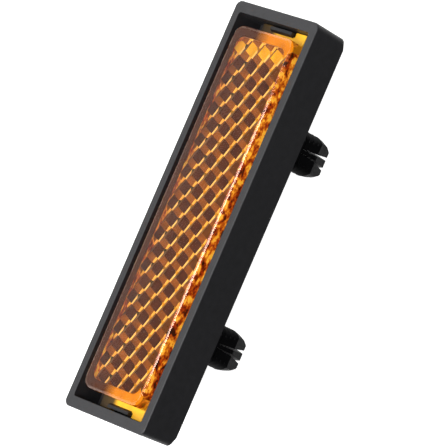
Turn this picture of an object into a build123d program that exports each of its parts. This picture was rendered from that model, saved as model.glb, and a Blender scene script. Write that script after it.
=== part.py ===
"""Pedal reflector: black tray, amber prismatic insert, two split push-in plugs.

Frame: +X along the length, -Y is the way the reflector faces, +Z across the width.
The tray's rear face is the plane Y = 0 and the plugs stand out of it towards +Y.
"""

import math
import os

from build123d import *

# tray
length = 76.0
width = 21.2
depth = 7.6
end_wall = 2.0
side_wall = 1.55
floor_t = 1.6
corner_r = 1.2
end_draft = 0.22
bevel_len = 0.9
bevel_depth = 0.45
pad_h = 1.1

# reflector insert
window_len = 67.7
window_w = 15.0
window_r = 1.9
window_t = 1.8
proud = 0.8
lens_wall = 1.2
edge_r = 0.45
tongue_w = 11.0
tongue_drop = 3.2
tongue_t = 1.2
notch_w = 5.8
notch_len = 0.9
skirt_w = 17.8
skirt_t = 0.8
plate_t = 1.0

# latch arms
latch_w = 5.4
latch_t = 0.55
latch_gap = 0.4
nose = 0.32
nose_h = 0.8
root_gap = 0.08

# plugs
plug_x = 18.3
plug_r = 3.75
plug_tip = 16.0
plug_tip_r = 2.5
cone_y = 12.2
barb_depth = 0.4
barb_pitch = 1.2
barb_y = 6.3
barb_count = 5
head_r = 5.0
head_t = 1.0
collar_r = 4.25
hole_r = 4.3
leaf_root = 8.1
core_half = 0.85
root_play = 0.1
slot_w = 0.14
slot_angle = 3.0
slot_slant = 0.2
flat_y = 6.0

front_y = -depth
floor_y = -floor_t
rear_lens_y = floor_y - pad_h
lens_front_y = front_y - proud
tongue_front_y = front_y + tongue_drop
cavity_len = length - 2 * end_wall
cavity_w = width - 2 * side_wall


def level(y):
    """Sketch plane at height y, its normal towards the front, local x along the length."""
    return Plane(origin=(0, y, 0), x_dir=(1, 0, 0), z_dir=(0, -1, 0))


def plug_blank(x0):
    """Barbed round shank with a head, a coned tip and two flats that narrow to the tip."""
    steps = [(0, floor_y - head_t), (head_r, floor_y - head_t), (head_r, floor_y), (collar_r, floor_y)]
    steps += [(collar_r, 0), (plug_r, 0)]
    for i in range(barb_count):
        top = barb_y + i * barb_pitch
        steps += [(plug_r, top), (plug_r - barb_depth, top + 0.05), (plug_r - barb_depth, top + 0.35)]
    steps += [(plug_r, cone_y), (3.55, cone_y + 1.1), (3.2, cone_y + 2.3)]
    steps += [(plug_tip_r, plug_tip - 0.25), (plug_tip_r - 0.25, plug_tip), (0, plug_tip)]
    with BuildSketch(Plane.XY) as outline:
        with BuildLine():
            Polyline([(x0 + r, y) for r, y in steps], close=True)
        make_face()
    revolve(outline.sketch, axis=Axis((x0, 0, 0), (0, 1, 0)))
    side = [(-6, 6), (flat_y, 6), (flat_y, 2.95), (cone_y, 2.5), (plug_tip, 0.95)]
    with BuildSketch(Plane.YZ.offset(x0)) as flats:
        with BuildLine():
            Polyline(side + [(y, -z) for y, z in reversed(side)], close=True)
        make_face()
    extrude(flats.sketch, amount=6, both=True, mode=Mode.INTERSECT)


def beyond(middle, s, gap):
    """Outline of everything past a slanted slot wall, gap from the middle, on side s."""
    near, far, outside = gap - slot_slant * plug_r, gap + slot_slant * plug_r, plug_r + 1
    corners = ((near, plug_r), (far, -plug_r), (outside, -plug_r), (outside, plug_r))
    return [(middle + s * x, z) for x, z in corners]


def leaning(x0, s):
    """Plane at a leaf's root, tipped so that the slot on side s opens towards the tip."""
    lean = math.radians(slot_angle)
    flat, rise = math.cos(lean), s * math.sin(lean)
    return Plane(origin=(x0, leaf_root, 0), x_dir=(flat, -rise, 0), z_dir=(-rise, -flat, 0))


os.makedirs("parts", exist_ok=True)

# tray with its floor, walls, support pads and plug holes
with BuildPart() as housing:
    with BuildSketch(level(front_y)):
        RectangleRounded(length, width, corner_r)
    with BuildSketch(level(-bevel_depth)):
        RectangleRounded(length - 2 * end_draft, width, corner_r)
    loft()
    with BuildSketch(level(-bevel_depth)):
        RectangleRounded(length - 2 * end_draft, width, corner_r)
    with BuildSketch(level(0)):
        RectangleRounded(length - 2 * end_draft - 2 * bevel_len, width, corner_r)
    loft()
    fillet(housing.edges().filter_by(GeomType.LINE).group_by(Axis.Y)[0], 0.2)
    with BuildSketch(level(floor_y)):
        RectangleRounded(cavity_len, cavity_w, 0.5)
    extrude(amount=depth, mode=Mode.SUBTRACT)
    with BuildSketch(level(floor_y)):
        with Locations((-28, 0), (0, 0), (28, 0)):
            RectangleRounded(4, 12, 0.6)
    extrude(amount=pad_h)
    with BuildSketch(level(0)):
        with Locations((-plug_x, 0), (plug_x, 0)):
            Circle(hole_r)
    extrude(amount=floor_t, mode=Mode.SUBTRACT)
housing.part.label = "housing"
export_step(housing.part, "parts/housing.step")

# amber lens: raised window, hollow behind, skirt along the sides and a tongue at each end
with BuildPart() as lens:
    with BuildSketch(level(rear_lens_y)):
        RectangleRounded(window_len, window_w, window_r)
    extrude(amount=rear_lens_y - lens_front_y)
    fillet(lens.faces().sort_by(Axis.Y)[0].edges(), edge_r)
    with BuildSketch(level(rear_lens_y)):
        RectangleRounded(window_len, skirt_w, window_r)
    extrude(amount=skirt_t)
    with BuildSketch(level(tongue_front_y + tongue_t)):
        Rectangle(cavity_len - 0.3, tongue_w)
        with Locations((-(cavity_len - 0.3) / 2, 0), ((cavity_len - 0.3) / 2, 0)):
            Rectangle(2 * notch_len, notch_w, mode=Mode.SUBTRACT)
    extrude(amount=tongue_t)
    with BuildSketch(level(rear_lens_y)):
        RectangleRounded(window_len - 2 * lens_wall, window_w - 2 * lens_wall, window_r - 0.7)
    extrude(amount=rear_lens_y - lens_front_y - window_t, mode=Mode.SUBTRACT)
lens.part.label = "lens"
export_step(lens.part, "parts/lens.step")

# plate welded into the back of the lens, keeping the prisms' air gap dry
with BuildPart() as back_plate:
    with BuildSketch(level(rear_lens_y)):
        RectangleRounded(window_len - 2 * lens_wall - 0.1, window_w - 2 * lens_wall - 0.1, window_r - 0.75)
    extrude(amount=plate_t)
back_plate.part.label = "back_plate"
export_step(back_plate.part, "parts/back_plate.step")

for side, end in ((-1, "left"), (1, "right")):
    # latch arm rising from the floor, its nose hooked over the tongue
    arm_out = side * (cavity_len / 2 - latch_gap)
    arm_in = arm_out - side * latch_t
    nose_y = tongue_front_y - 0.05
    with BuildPart() as latch:
        with BuildSketch(Plane.XY):
            with BuildLine():
                Polyline(
                    (arm_out, floor_y - root_gap),
                    (arm_out, nose_y - nose_h),
                    (arm_in, nose_y - nose_h),
                    (arm_in - side * nose, nose_y - 0.25),
                    (arm_in - side * nose, nose_y),
                    (arm_in, nose_y),
                    (arm_in, floor_y - root_gap),
                    close=True,
                )
            make_face()
        extrude(amount=latch_w / 2, both=True)
    latch.part.label = f"latch_{end}"
    export_step(latch.part, f"parts/latch_{end}.step")

    # plug core: head, shank and middle leaf
    x0 = side * plug_x
    with BuildPart() as core:
        plug_blank(x0)
        for s in (-1, 1):
            with BuildSketch(level(leaf_root - root_play)):
                Polygon(*beyond(x0, s, core_half), align=None)
            extrude(amount=leaf_root - root_play - plug_tip - 1, mode=Mode.SUBTRACT)
    core.part.label = f"plug_{end}"
    export_step(core.part, f"parts/plug_{end}.step")

    # the two outer leaves of the split tip
    for s, where in ((-1, "a"), (1, "b")):
        with BuildPart() as leaf:
            plug_blank(x0)
            for plane, middle in ((level(leaf_root), x0), (leaning(x0, s), 0)):
                with BuildSketch(plane):
                    Polygon(*beyond(middle, s, core_half + slot_w), align=None)
                extrude(amount=leaf_root - plug_tip - 1, mode=Mode.INTERSECT)
        leaf.part.label = f"plug_{end}_leaf_{where}"
        export_step(leaf.part, f"parts/plug_{end}_leaf_{where}.step")
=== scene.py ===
"""Pedal reflector.

Finishes the packed tray, latch arms, plugs and back plate, and builds a clear amber lens over
corner-cube prisms.
"""

import math

import bmesh
import bpy
from bpy.props import FloatProperty, FloatVectorProperty, PointerProperty
from bpy.types import Operator, Panel, PropertyGroup
from mathutils import Euler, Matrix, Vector


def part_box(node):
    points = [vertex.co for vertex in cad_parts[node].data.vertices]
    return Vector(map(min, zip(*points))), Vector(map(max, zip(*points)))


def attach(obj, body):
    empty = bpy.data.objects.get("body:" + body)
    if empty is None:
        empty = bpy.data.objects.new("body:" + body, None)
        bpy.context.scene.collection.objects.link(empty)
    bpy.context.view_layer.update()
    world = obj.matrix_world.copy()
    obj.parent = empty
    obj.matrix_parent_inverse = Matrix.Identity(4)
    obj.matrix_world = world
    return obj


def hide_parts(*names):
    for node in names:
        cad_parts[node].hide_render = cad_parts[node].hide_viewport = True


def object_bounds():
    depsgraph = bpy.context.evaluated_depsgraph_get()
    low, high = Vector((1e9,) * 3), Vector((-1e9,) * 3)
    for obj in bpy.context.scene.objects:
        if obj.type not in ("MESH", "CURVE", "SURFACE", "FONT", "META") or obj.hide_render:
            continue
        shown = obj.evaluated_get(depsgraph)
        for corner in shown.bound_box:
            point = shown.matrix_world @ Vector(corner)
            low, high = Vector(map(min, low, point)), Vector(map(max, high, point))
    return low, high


bl_info = {
    "name": "Pedal Reflector",
    "version": (1, 0, 0),
    "blender": (4, 5, 0),
    "location": "View3D > Sidebar > Reflector",
    "description": "Builds a snap-in bicycle pedal reflector piece by piece",
    "category": "Object",
}

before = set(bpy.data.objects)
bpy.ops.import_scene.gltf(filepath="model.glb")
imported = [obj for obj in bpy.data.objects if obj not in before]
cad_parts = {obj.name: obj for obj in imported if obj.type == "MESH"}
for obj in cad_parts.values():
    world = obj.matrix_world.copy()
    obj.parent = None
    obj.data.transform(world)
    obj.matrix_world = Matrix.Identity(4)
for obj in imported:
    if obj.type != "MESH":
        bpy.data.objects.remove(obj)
CAD_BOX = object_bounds()
LENS_LOW, LENS_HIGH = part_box("lens")
MM = 0.001

# slots of the painted light and shade on the corner cubes' sides
SHADED, WARM, SPARK, PALE, GOLDEN, LIT, EDGE_GLOW = range(7)


# ---------------------------------------------------------------- settings


class LensSettings(PropertyGroup):
    """The clear amber moulding."""

    length: FloatProperty(
        name="Window length", description="Raised window, end to end", default=67.7 * MM, unit="LENGTH"
    )
    width: FloatProperty(
        name="Window width", description="Raised window, side to side", default=15.0 * MM, unit="LENGTH"
    )
    corner: FloatProperty(
        name="Corner radius",
        description="Round of the window's four corners",
        default=1.9 * MM,
        unit="LENGTH",
    )
    edge: FloatProperty(
        name="Edge radius",
        description="Round of the window's front edge",
        default=0.45 * MM,
        unit="LENGTH",
    )
    skirt_width: FloatProperty(
        name="Skirt width", description="Base skirt, side to side", default=17.8 * MM, unit="LENGTH"
    )
    skirt: FloatProperty(name="Skirt thickness", description="Base skirt", default=0.8 * MM, unit="LENGTH")
    tongue_width: FloatProperty(
        name="Tongue width", description="Tongue held by the latch arm", default=11.0 * MM, unit="LENGTH"
    )
    tongue_front: FloatProperty(
        name="Tongue drop",
        description="From the window's face to the tongue's",
        default=4.0 * MM,
        unit="LENGTH",
    )
    tongue: FloatProperty(
        name="Tongue thickness",
        description="Tongue held by the latch arm",
        default=1.2 * MM,
        unit="LENGTH",
    )
    notch_width: FloatProperty(
        name="Notch width", description="Notch round the latch arm", default=5.8 * MM, unit="LENGTH"
    )
    notch: FloatProperty(
        name="Notch depth", description="Notch round the latch arm", default=0.9 * MM, unit="LENGTH"
    )


class PrismSettings(PropertyGroup):
    """The corner cubes behind the window."""

    pitch: FloatProperty(
        name="Pitch", description="Cube to cube across the width", default=3.16 * MM, unit="LENGTH"
    )
    row: FloatProperty(
        name="Row spacing", description="Row to row along the length", default=2.91 * MM, unit="LENGTH"
    )
    first_x: FloatProperty(
        name="Row start", description="One row's place along the length", default=1.29 * MM, unit="LENGTH"
    )
    first_z: FloatProperty(
        name="Column start",
        description="One cube's place across the width, in that row",
        default=-0.59 * MM,
        unit="LENGTH",
    )
    relief: FloatProperty(
        name="Relief", description="From a cube's rim to its point", default=2.6 * MM, unit="LENGTH"
    )
    cover: FloatProperty(
        name="Window thickness",
        description="Clear plastic in front of the cubes",
        default=1.75 * MM,
        unit="LENGTH",
    )
    length: FloatProperty(
        name="Field length", description="Cubes, end to end", default=64.0 * MM, unit="LENGTH"
    )
    width: FloatProperty(
        name="Field width", description="Cubes, side to side", default=13.4 * MM, unit="LENGTH"
    )
    # width of the painted highlight band beside each cube point
    band: FloatProperty(
        name="Spark width",
        description="Bright band beside each cube point, share of the side",
        default=0.145,
    )
    margin: FloatProperty(
        name="Margin depth",
        description="From the window's face to the glowing margin",
        default=0.55 * MM,
        unit="LENGTH",
    )


class FinishAndLightSettings(PropertyGroup):
    """Colours of the plastics, and of the painted light and shade on the cubes, the margin and the tongue.
    """

    tray: FloatVectorProperty(
        name="Tray",
        description="Black tray plastic",
        subtype="COLOR",
        size=3,
        default=(0.007, 0.007, 0.008),
    )
    plug: FloatVectorProperty(
        name="Plugs",
        description="Smooth black plug plastic",
        subtype="COLOR",
        size=3,
        default=(0.002, 0.002, 0.0025),
    )
    amber: FloatVectorProperty(
        name="Amber",
        description="Colour the clear plastic passes",
        subtype="COLOR",
        size=3,
        default=(1.0, 0.8, 0.5),
    )
    # Painted light and shade on the corner cube sides, the same from every view: shaded is painted shade,
    # the others are painted light.
    shaded: FloatVectorProperty(
        name="Shaded",
        description="Cube side that passes light on",
        subtype="COLOR",
        size=3,
        default=(0.085, 0.025, 0.014),
    )
    warm: FloatVectorProperty(
        name="Warm",
        description="Cube side that sends some light back",
        subtype="COLOR",
        size=3,
        default=(0.27, 0.084, 0.016),
    )
    golden: FloatVectorProperty(
        name="Golden",
        description="Narrow cube side, seen along its face",
        subtype="COLOR",
        size=3,
        default=(0.15, 0.05, 0.006),
    )
    spark: FloatVectorProperty(
        name="Spark",
        description="Wide half of the bright band",
        subtype="COLOR",
        size=3,
        default=(0.92, 0.50, 0.09),
    )
    pale: FloatVectorProperty(
        name="Pale spark",
        description="Narrow half of the bright band",
        subtype="COLOR",
        size=3,
        default=(0.95, 0.66, 0.22),
    )
    lit: FloatVectorProperty(
        name="Lit",
        description="First row, lit from the open end",
        subtype="COLOR",
        size=3,
        default=(0.85, 0.5, 0.03),
    )
    edge: FloatVectorProperty(
        name="Edge",
        description="Cut cubes along one side",
        subtype="COLOR",
        size=3,
        default=(0.75, 0.20, 0.03),
    )
    # Painted shade for the margin's far side and painted light for its near side.
    shadow_side: FloatVectorProperty(
        name="Margin, far side",
        description="Solid margin away from the light",
        subtype="COLOR",
        size=3,
        default=(0.037, 0.0095, 0.002),
    )
    light_side: FloatVectorProperty(
        name="Margin, near side",
        description="Solid margin that pipes the light",
        subtype="COLOR",
        size=3,
        default=(0.52, 0.19, 0.005),
    )
    # The tongue's amber; the lens operator darkens it towards one side as painted shade.
    tongue: FloatVectorProperty(
        name="Tongue",
        description="Tongue beside the latch arm",
        subtype="COLOR",
        size=3,
        default=(0.56, 0.29, 0.011),
    )


class StudioSettings(PropertyGroup):
    """Camera and lights."""

    camera: FloatVectorProperty(
        name="Camera",
        description="Where the camera stands",
        size=3,
        subtype="TRANSLATION",
        default=(0.04805, -0.53053, 0.55822),
    )
    turn: FloatVectorProperty(
        name="Camera turn",
        description="Camera angles",
        size=3,
        subtype="EULER",
        default=tuple(math.radians(a) for a in (-17.671, -40.633, 121.365)),
    )
    lens: FloatProperty(name="Focal length", description="Millimetres on a 36 mm sensor", default=361.21)
    key: FloatProperty(name="Key power", description="Front softbox, watts", default=18.0)
    top: FloatProperty(name="Top power", description="Overhead softbox, watts", default=1.2)
    rim: FloatProperty(name="Side power", description="Side softbox, watts", default=0.6)
    strip: FloatProperty(name="Strip power", description="Light near the camera, watts", default=1.8)
    glow: FloatProperty(name="Paper glow", description="Light the paper gives off", default=0.8)


# ---------------------------------------------------------------- helpers


def drop_mesh(name, mesh, material_list, body="tray"):
    """Puts a mesh in the scene with its finishes and lets it ride on a body."""
    piece = bpy.data.objects.new(name, mesh)
    bpy.context.scene.collection.objects.link(piece)
    for m in material_list:
        piece.data.materials.append(m)
    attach(piece, body)
    return piece


def rounded_outline(half_x, half_z, radius, steps=8):
    """Points of a rounded rectangle, counter-clockwise seen from the front."""
    pts = []
    for sx, sz, start in ((1, 1, 0.0), (-1, 1, 0.5), (-1, -1, 1.0), (1, -1, 1.5)):
        for i in range(steps + 1):
            a = math.pi * (start + 0.5 * i / steps)
            x = sx * (half_x - radius) + radius * math.cos(a)
            z = sz * (half_z - radius) + radius * math.sin(a)
            pts.append((x, z))
    return pts


def moulded_block(bm, half_x, half_z, radius, y_back, y_front, edge):
    """A closed block with rounded corners and a softly chamfered front edge."""
    rings = [(0.0, y_back), (0.0, y_front + edge)]
    for inset, drop in ((0.1, 0.56), (0.56, 0.1), (1.0, 0.0)):
        rings.append((edge * inset, y_front + edge * drop))
    loops = []
    for inset, y in rings:
        outline = rounded_outline(half_x - inset, half_z - inset, max(radius - inset, 0.05 * MM))
        loops.append([bm.verts.new((x, y, z)) for x, z in outline])
    n = len(loops[0])
    for low, high in zip(loops, loops[1:]):
        for i in range(n):
            bm.faces.new((low[i], low[(i + 1) % n], high[(i + 1) % n], high[i]))
    bm.faces.new(list(reversed(loops[0])))
    bm.faces.new(loops[-1])
    bmesh.ops.recalc_face_normals(bm, faces=bm.faces)


def plate_with_notches(bm, half_x, half_z, notch_w, notch_l, y_back, y_front):
    """A flat bar, notched in the middle of both ends."""
    nx, nz = half_x - notch_l, notch_w / 2
    outline = [(half_x, nz), (half_x, half_z), (-half_x, half_z), (-half_x, nz), (-nx, nz), (-nx, -nz)]
    outline += [(-half_x, -nz), (-half_x, -half_z), (half_x, -half_z), (half_x, -nz), (nx, -nz), (nx, nz)]
    loops = [[bm.verts.new((x, y, z)) for x, z in outline] for y in (y_back, y_front)]
    n = len(outline)
    for i in range(n):
        bm.faces.new((loops[0][i], loops[0][(i + 1) % n], loops[1][(i + 1) % n], loops[1][i]))
    bm.faces.new(list(reversed(loops[0])))
    bm.faces.new(loops[1])
    bmesh.ops.recalc_face_normals(bm, faces=bm.faces)


def mesh_of(name, build):
    """A new mesh made by build(bm)."""
    bm = bmesh.new()
    build(bm)
    mesh = bpy.data.meshes.new(name)
    bm.to_mesh(mesh)
    bm.free()
    return mesh


def joined(name, meshes):
    """One closed mesh from overlapping closed ones."""
    shapes = [bpy.data.objects.new(f"{name}.{i}", m) for i, m in enumerate(meshes)]
    for s in shapes:
        bpy.context.scene.collection.objects.link(s)
    for s in shapes[1:]:
        union = shapes[0].modifiers.new("union", "BOOLEAN")
        union.operation, union.solver, union.object = "UNION", "EXACT", s
    solid = bpy.data.meshes.new_from_object(shapes[0].evaluated_get(bpy.context.evaluated_depsgraph_get()))
    solid.name = name
    for s in shapes:
        bpy.data.objects.remove(s)
    return solid


# ---------------------------------------------------------------- finishes


def blank(name):
    """A new material: its node tree and its Principled shader."""
    mat = bpy.data.materials.new(name)
    mat.use_nodes = True
    return mat, mat.node_tree, mat.node_tree.nodes["Principled BSDF"]


def spread(nt, scale, detail=4.0, rough=0.55, stretch=(1, 1, 1)):
    """A noise in object space; returns its Fac socket."""
    where = nt.nodes.new("ShaderNodeTexCoord")
    size = nt.nodes.new("ShaderNodeMapping")
    size.inputs["Scale"].default_value = stretch
    noise = nt.nodes.new("ShaderNodeTexNoise")
    noise.inputs["Scale"].default_value = scale
    noise.inputs["Detail"].default_value = detail
    noise.inputs["Roughness"].default_value = rough
    nt.links.new(where.outputs["Object"], size.inputs["Vector"])
    nt.links.new(size.outputs["Vector"], noise.inputs["Vector"])
    return noise.outputs["Fac"]


def ramp(nt, fac, stops):
    """A colour ramp driven by fac; stops are (place, colour)."""
    node = nt.nodes.new("ShaderNodeValToRGB")
    while len(node.color_ramp.elements) < len(stops):
        node.color_ramp.elements.new(0.5)
    for element, (place, colour) in zip(node.color_ramp.elements, stops):
        element.position = place
        element.color = (*colour, 1)
    nt.links.new(fac, node.inputs["Fac"])
    return node.outputs["Color"]


def shade(colour, k):
    """The colour made k times as bright."""
    return tuple(min(1.0, c * k) for c in colour)


def grainy_plastic(name, colour, roughness, grain, depth, shine=0.3):
    """Spark-eroded black plastic: fine grain, a little mottle in colour and gloss."""
    mat, nt, skin = blank(name)
    mottle = spread(nt, grain * 0.18)
    fine = spread(nt, grain, detail=6.0, rough=0.7)
    tone = ramp(nt, mottle, [(0.3, shade(colour, 0.8)), (0.7, shade(colour, 1.25))])
    gloss = ramp(nt, fine, [(0.3, (roughness - 0.08,) * 3), (0.7, (roughness + 0.08,) * 3)])
    nt.links.new(tone, skin.inputs["Base Color"])
    nt.links.new(gloss, skin.inputs["Roughness"])
    bump = nt.nodes.new("ShaderNodeBump")
    bump.inputs["Strength"].default_value = depth
    bump.inputs["Distance"].default_value = 0.05 * MM
    nt.links.new(fine, bump.inputs["Height"])
    nt.links.new(bump.outputs["Normal"], skin.inputs["Normal"])
    skin.inputs["Specular IOR Level"].default_value = shine
    return mat


def amber_glass(name, colour, shine, haze=0.0):
    """Clear amber acrylic with a few rub marks."""
    mat, nt, skin = blank(name)
    skin.inputs["Transmission Weight"].default_value = 1.0
    skin.inputs["IOR"].default_value = 1.49
    skin.inputs["Specular Tint"].default_value = (shine, 0.75 * shine, 0.6 * shine, 1)
    cloud = spread(nt, 160, detail=3.0)
    nt.links.new(ramp(nt, cloud, [(0.3, shade(colour, 0.95)), (0.7, colour)]), skin.inputs["Base Color"])
    rubs = spread(nt, 900, detail=4.0, stretch=(0.15, 1, 1))
    gloss = ramp(nt, rubs, [(0.35, (0.015 + haze,) * 3), (0.7, (0.07 + haze,) * 3)])
    nt.links.new(gloss, skin.inputs["Roughness"])
    bump = nt.nodes.new("ShaderNodeBump")
    bump.inputs["Strength"].default_value = 0.04
    bump.inputs["Distance"].default_value = 0.02 * MM
    nt.links.new(rubs, bump.inputs["Height"])
    nt.links.new(bump.outputs["Normal"], skin.inputs["Normal"])
    return mat


def across(nt, low, high, stops):
    """A colour ramp over the width, from z = low to z = high."""
    where = nt.nodes.new("ShaderNodeTexCoord")
    axes = nt.nodes.new("ShaderNodeSeparateXYZ")
    span = nt.nodes.new("ShaderNodeMapRange")
    span.inputs["From Min"].default_value = low
    span.inputs["From Max"].default_value = high
    nt.links.new(where.outputs["Object"], axes.inputs["Vector"])
    nt.links.new(axes.outputs["Z"], span.inputs["Value"])
    return ramp(nt, span.outputs["Result"], stops)


def painted_light_across(name, low, high, stops, glow, roughness=0.35, shine=0.0):
    """Solid amber with painted light and shade: its colour runs across the width from dark to bright, and
    it glows as painted light.
    """
    mat, nt, skin = blank(name)
    tone = across(nt, low, high, stops)
    cloud = ramp(nt, spread(nt, 500, detail=4.0), [(0.3, (0.78, 0.74, 0.7)), (0.65, (1.0, 1.0, 1.0))])
    mix = nt.nodes.new("ShaderNodeMix")
    mix.data_type, mix.blend_type = "RGBA", "MULTIPLY"
    mix.inputs["Factor"].default_value = 1.0
    nt.links.new(tone, mix.inputs["A"])
    nt.links.new(cloud, mix.inputs["B"])
    nt.links.new(mix.outputs["Result"], skin.inputs["Base Color"])
    nt.links.new(mix.outputs["Result"], skin.inputs["Emission Color"])
    skin.inputs["Emission Strength"].default_value = glow
    skin.inputs["Roughness"].default_value = roughness
    skin.inputs["Specular IOR Level"].default_value = shine
    return mat


def cube_side(name, colour, spread_by=0.25, glow=0.0):
    """One side of the corner cubes in a colour of painted light and shade, slightly uneven as moulded."""
    mat, nt, skin = blank(name)
    fac = spread(nt, 700, detail=3.0)
    tone = ramp(nt, fac, [(0.3, shade(colour, 1 - spread_by)), (0.7, shade(colour, 1 + spread_by))])
    nt.links.new(tone, skin.inputs["Base Color"])
    skin.inputs["Roughness"].default_value = 0.35
    skin.inputs["Specular IOR Level"].default_value = 0.1
    # painted glow: the side gives off light of its own
    if glow:
        nt.links.new(tone, skin.inputs["Emission Color"])
        skin.inputs["Emission Strength"].default_value = glow
    return mat


# ---------------------------------------------------------------- pieces


class REFLECTOR_OT_tray(Operator):
    """Gives the tray and its latch arms their grained black finish."""

    bl_idname = "reflector.tray"
    bl_label = "Tray"

    def execute(self, context):
        colour = context.scene.reflector_finish.tray
        finish = grainy_plastic("tray_black", colour, roughness=0.5, grain=4200, depth=0.5)
        for node in ("housing", "latch_left", "latch_right"):
            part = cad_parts[node]
            part.data.materials.clear()
            part.data.materials.append(finish)
        return {"FINISHED"}


class REFLECTOR_OT_plugs(Operator):
    """Gives the plugs and their leaves a smooth black finish."""

    bl_idname = "reflector.plugs"
    bl_label = "Plugs"

    def execute(self, context):
        colour = context.scene.reflector_finish.plug
        finish = grainy_plastic("plug_black", colour, roughness=0.45, grain=1500, depth=0.3, shine=0.05)
        for node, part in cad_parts.items():
            if node.startswith("plug_"):
                part.data.materials.clear()
                part.data.materials.append(finish)
        return {"FINISHED"}


class REFLECTOR_OT_plate(Operator):
    """Finishes the plate welded behind the prisms."""

    bl_idname = "reflector.plate"
    bl_label = "Back plate"

    def execute(self, context):
        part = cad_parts["back_plate"]
        part.data.materials.clear()
        brown = (0.05, 0.02, 0.01)
        finish = grainy_plastic("plate_brown", brown, roughness=0.5, grain=2500, depth=0.3)
        part.data.materials.append(finish)
        return {"FINISHED"}


class REFLECTOR_OT_lens(Operator):
    """Moulds the clear amber lens: window, skirt and two notched tongues."""

    bl_idname = "reflector.lens"
    bl_label = "Lens"

    def execute(self, context):
        s, paint = context.scene.reflector_lens, context.scene.reflector_finish
        front, back = LENS_LOW[1], LENS_HIGH[1]
        tongue_front = front + s.tongue_front
        end, half_tongue = LENS_HIGH[0], s.tongue_width / 2
        hair, skirt_edge = 0.01 * MM, 0.1 * MM

        def window(bm):
            moulded_block(bm, s.length / 2, s.width / 2, s.corner, back, front, s.edge)

        def skirt(bm):
            half_x, y_back, y_front = s.length / 2 - hair, back - hair, back - s.skirt
            moulded_block(bm, half_x, s.skirt_width / 2, s.corner, y_back, y_front, skirt_edge)

        def tongues(bm):
            y_back = tongue_front + s.tongue
            plate_with_notches(bm, end, half_tongue, s.notch_width, s.notch, y_back, tongue_front)

        mesh = joined("lens_window", [mesh_of("window", window), mesh_of("skirt", skirt)])
        face_finish = amber_glass("amber_clear", paint.amber, shine=0.2)
        edge_finish = amber_glass("amber_edge", paint.amber, shine=1.6, haze=0.045)
        clear = drop_mesh("lens_window", mesh, [face_finish, edge_finish])
        for face in mesh.polygons:
            face.use_smooth = True
            if abs(face.normal.y) < 0.99 and face.center.y < front + 1.01 * s.edge:
                face.material_index = 1
        mesh.set_sharp_from_angle(angle=math.radians(15))
        # Painted shade: the tongue darkens towards its -Z side, and its glow is painted light.
        stops = [(0.0, shade(paint.tongue, 0.03)), (0.26, shade(paint.tongue, 0.08)), (0.36, paint.tongue)]
        painted_glow = painted_light_across("amber_tongue_painted_light", -half_tongue, half_tongue, stops, glow=0.25,
                          roughness=0.45, shine=0.25)
        bars = drop_mesh("lens_tongues", mesh_of("lens_tongues", tongues), [painted_glow])
        soft = bars.modifiers.new("soft_edges", "BEVEL")
        soft.width, soft.segments, soft.limit_method = 0.12 * MM, 2, "ANGLE"
        for piece in (clear, bars):
            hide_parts("lens")
        return {"FINISHED"}


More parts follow.
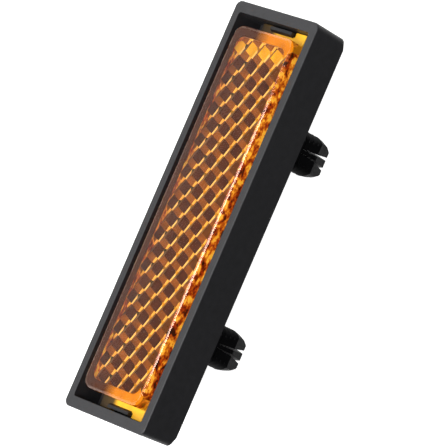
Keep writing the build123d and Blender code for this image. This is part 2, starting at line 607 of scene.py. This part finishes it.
class REFLECTOR_OT_prisms(Operator):
    """Cuts the field of corner cubes and the walls round it."""

    bl_idname = "reflector.prisms"
    bl_label = "Prisms"

    def execute(self, context):
        s, paint = context.scene.reflector_prisms, context.scene.reflector_finish
        window = context.scene.reflector_lens
        rim = LENS_LOW[1] + s.cover
        half_x, half_z = s.length / 2, s.width / 2

        def own_side(x0, z0, reach):
            """Painted shade on a cube's widest side, swapped for painted light along three edges of the
            field.
            """
            lit_strip, edge_glow_strip, golden_strip = 0.6 * s.row, 0.42 * s.pitch, 0.45 * s.pitch
            if x0 - reach < -half_x + lit_strip:
                return LIT
            if z0 < -half_z + edge_glow_strip:
                return EDGE_GLOW
            if z0 > half_z - golden_strip:
                return GOLDEN
            return SHADED

        def cube(bm, x0, z0):
            """Three sides that meet in a point, with painted highlight bands along the edges from it."""
            reach = s.row / 1.5
            radius = s.pitch / 2 / math.cos(math.radians(30))

            def rim_point(turn, level):
                a = math.radians(turn)
                x, z = x0 - reach * math.sin(a), z0 + radius * math.cos(a)
                return Vector((x, rim + s.relief * (1 - level), z))

            tip = Vector((x0, rim + s.relief, z0))
            right, top, left = rim_point(30, 0.5), rim_point(90, 1.0), rim_point(150, 0.5)
            low_left, low, low_right = rim_point(210, 1.0), rim_point(270, 0.5), rim_point(330, 1.0)
            near, far = tip.lerp(left, s.band), low.lerp(low_left, s.band)
            wide, narrow = 2.4 * s.band, 0.7 * s.band
            inner, outer = right.lerp(top, wide), right.lerp(top, narrow)
            # each face gets a fixed colour of painted light and shade, the same from every view
            for index, ring in (
                (own_side(x0, z0, reach), (near, left, low_left, far)),
                (PALE, (tip, near, far, low)),
                (WARM, (left, near, inner, top)),
                (SPARK, (near, tip, outer, inner)),
                (GOLDEN, (tip, right, outer)),
                (GOLDEN, (tip, low, low_right, right)),
            ):
                bm.faces.new([bm.verts.new(v) for v in ring]).material_index = index

        def field(bm):
            """Rows of cubes, trimmed to a rectangle with cut corners."""
            rows = int(half_x / s.row) + 2
            columns = int(half_z / s.pitch) + 2
            for row in range(-rows, rows + 1):
                for column in range(-columns, columns + 1):
                    cube(bm, s.first_x + row * s.row, s.first_z + (column + 0.5 * (row % 2)) * s.pitch)
            bmesh.ops.remove_doubles(bm, verts=bm.verts, dist=0.001 * MM)
            inset = 0.55 * MM  # of the planes that cut the corners
            planes = []
            for sign in (1, -1):
                planes.append(((sign * half_x, 0, 0), (sign, 0, 0)))
            for sign in (1, -1):
                planes.append(((0, 0, sign * half_z), (0, 0, sign)))
            for sx in (-1, 1):
                for sz in (-1, 1):
                    planes.append(((sx * (half_x - inset), 0, sz * (half_z - inset)), (sx, 0, sz)))
            for at, normal in planes:
                geometry = list(bm.verts) + list(bm.edges) + list(bm.faces)
                bmesh.ops.bisect_plane(bm, geom=geometry, plane_co=at, plane_no=normal, clear_outer=True)

        # Painted light and shade for the cube faces; the glow of spark, pale, lit and edge is painted
        # light given off.
        sides = [
            cube_side("cube_shaded", paint.shaded),
            cube_side("cube_warm", paint.warm),
            cube_side("cube_spark", paint.spark, spread_by=0.1, glow=0.3),
            cube_side("cube_pale", paint.pale, spread_by=0.1, glow=0.3),
            cube_side("cube_golden", paint.golden),
            cube_side("cube_lit", paint.lit, spread_by=0.15, glow=0.15),
            cube_side("cube_edge_glow", paint.edge, spread_by=0.2, glow=0.25),
        ]
        cubes = drop_mesh("prism_cubes", mesh_of("prism_cubes", field), sides)

        def wall(bm):
            """Ring wall round the cubes, raised nearly to the window's face along the +Z side."""
            gap, corner, side_strip = 0.03 * MM, 1.2 * MM, 0.7 * MM
            raised, sunk, foot = LENS_LOW[1] + 0.5 * MM, rim - 0.1 * MM, LENS_HIGH[1] - 0.3 * MM
            outline = rounded_outline(half_x + gap, half_z + gap, corner)
            high = [bm.verts.new((x, raised if z > half_z - side_strip else sunk, z)) for x, z in outline]
            deep = [bm.verts.new((x, foot, z)) for x, z in outline]
            n = len(outline)
            for i in range(n):
                bm.faces.new((high[i], high[(i + 1) % n], deep[(i + 1) % n], deep[i]))

        # Painted glints: dark, red, orange and yellow spots that glow, standing in for light seen through
        # the side face.
        glint_paint, nt, skin = blank("wall_painted_glints")
        glints = spread(nt, 1100, detail=3.0, rough=0.6, stretch=(0.7, 1, 1))
        dark, red = (0.02, 0.003, 0.001), (0.35, 0.03, 0.002)
        orange, yellow = (0.55, 0.16, 0.008), (0.95, 0.55, 0.06)
        spots = ramp(nt, glints, [(0.36, dark), (0.45, red), (0.53, orange), (0.62, yellow)])
        nt.links.new(spots, skin.inputs["Base Color"])
        nt.links.new(spots, skin.inputs["Emission Color"])
        skin.inputs["Emission Strength"].default_value = 0.35
        skin.inputs["Roughness"].default_value = 0.3
        shell = drop_mesh("prism_wall", mesh_of("prism_wall", wall), [glint_paint])

        def margin(bm):
            """Flat ring between the cubes and the window's edge, open along the +Z side: a sheet carrying
            painted light and shade.
            """
            y, steps = LENS_LOW[1] + s.margin, 8
            lap, corner, gap = 0.66 * MM, 1.5 * MM, 0.1 * MM
            inside = rounded_outline(half_x, half_z - lap, corner, steps)
            outside = rounded_outline(
                window.length / 2 - gap, window.width / 2 - gap, window.corner - gap, steps
            )
            inner = [bm.verts.new((x, y, z)) for x, z in inside]
            outer = [bm.verts.new((x, y, z)) for x, z in outside]
            n = len(inner)
            for i in range(n):
                if i != steps:  # the band after the first corner is the +Z side
                    bm.faces.new((inner[i], inner[(i + 1) % n], outer[(i + 1) % n], outer[i]))

        # painted shade on the -Z side rising to painted light on the +Z side
        stops = [(0.0, paint.shadow_side), (0.36, shade(paint.shadow_side, 1.3)), (0.56, paint.light_side)]
        half_width = window.width / 2
        painted_glow = painted_light_across("amber_margin_painted_light", -half_width, half_width, stops, glow=0.35)
        ring = drop_mesh("margin_painted_glow", mesh_of("margin_painted_glow", margin), [painted_glow])
        return {"FINISHED"}


class REFLECTOR_OT_studio(Operator):
    """Sets the floor, the softboxes and the camera."""

    bl_idname = "reflector.studio"
    bl_label = "Studio"

    def execute(self, context):
        s = context.scene.reflector_studio
        scene = context.scene
        low = CAD_BOX[0]

        def sheet(bm):
            half_side = 3.0
            bmesh.ops.create_grid(bm, x_segments=1, y_segments=1, size=half_side)

        paper = bpy.data.objects.new("studio_floor", mesh_of("studio_floor", sheet))
        scene.collection.objects.link(paper)
        paper.location.z = low[2] - 0.05 * MM
        mat, nt, skin = blank("studio_paper")
        skin.inputs["Base Color"].default_value = (0.9, 0.9, 0.9, 1)
        skin.inputs["Roughness"].default_value = 0.9
        skin.inputs["Specular IOR Level"].default_value = 0.1
        skin.inputs["Emission Color"].default_value = (1, 1, 1, 1)
        skin.inputs["Emission Strength"].default_value = s.glow
        paper.data.materials.append(mat)

        def softbox(name, at, size, power, target=(0, 0, 0)):
            """A square area light turned to the target."""
            lamp = bpy.data.lights.new(name, "AREA")
            lamp.shape, lamp.size, lamp.energy = "SQUARE", size, power
            box = bpy.data.objects.new(name, lamp)
            box.location = at
            box.rotation_euler = (Vector(target) - Vector(at)).to_track_quat("-Z", "Y").to_euler()
            scene.collection.objects.link(box)

        softbox("softbox_front", (0.25, -0.75, 0.22), 0.5, s.key)
        softbox("softbox_top", (-0.1, -0.1, 0.9), 0.9, s.top)
        softbox("softbox_side", (-0.5, 0.35, 0.3), 0.25, s.rim)
        softbox("softbox_strip", (-0.04, -0.6, 0.575), 0.2, s.strip)

        world = bpy.data.worlds.new("studio_air")
        world.use_nodes = True
        air = world.node_tree.nodes["Background"]
        air.inputs["Color"].default_value = (1, 1, 1, 1)
        air.inputs["Strength"].default_value = 0.15
        scene.world = world

        camera = bpy.data.cameras.new("camera")
        camera.lens, camera.sensor_width = s.lens, 36.0
        camera.clip_start, camera.clip_end = 0.01, 20.0
        eye = bpy.data.objects.new("camera", camera)
        eye.location = s.camera
        eye.rotation_euler = Euler(s.turn)
        scene.collection.objects.link(eye)
        scene.camera = eye
        scene.view_settings.view_transform = "Standard"
        return {"FINISHED"}


class REFLECTOR_PT_panel(Panel):
    """Lists the settings and the pieces."""

    bl_idname = "REFLECTOR_PT_panel"
    bl_label = "Pedal Reflector"
    bl_space_type = "VIEW_3D"
    bl_region_type = "UI"
    bl_category = "Reflector"

    def draw(self, context):
        for title, group in GROUPS.items():
            settings = getattr(context.scene, title)
            box = self.layout.box()
            box.label(text=group.__doc__)
            for name in group.__annotations__:
                box.prop(settings, name)
        for op in PIECES:
            self.layout.operator(op.bl_idname)


PIECES = (
    REFLECTOR_OT_tray,
    REFLECTOR_OT_plugs,
    REFLECTOR_OT_plate,
    REFLECTOR_OT_lens,
    REFLECTOR_OT_prisms,
    REFLECTOR_OT_studio,
)
GROUPS = {
    "reflector_lens": LensSettings,
    "reflector_prisms": PrismSettings,
    "reflector_finish": FinishAndLightSettings,
    "reflector_studio": StudioSettings,
}


def register():
    for cls in (*GROUPS.values(), *PIECES, REFLECTOR_PT_panel):
        bpy.utils.register_class(cls)
    for name, group in GROUPS.items():
        setattr(bpy.types.Scene, name, PointerProperty(type=group))


def unregister():
    for name in GROUPS:
        delattr(bpy.types.Scene, name)
    for cls in reversed((*GROUPS.values(), *PIECES, REFLECTOR_PT_panel)):
        bpy.utils.unregister_class(cls)


def main():
    """Builds every piece."""
    register()
    bpy.ops.reflector.tray()
    bpy.ops.reflector.plugs()
    bpy.ops.reflector.plate()
    bpy.ops.reflector.lens()
    bpy.ops.reflector.prisms()
    bpy.ops.reflector.studio()


if __name__ == "__main__":
    main()
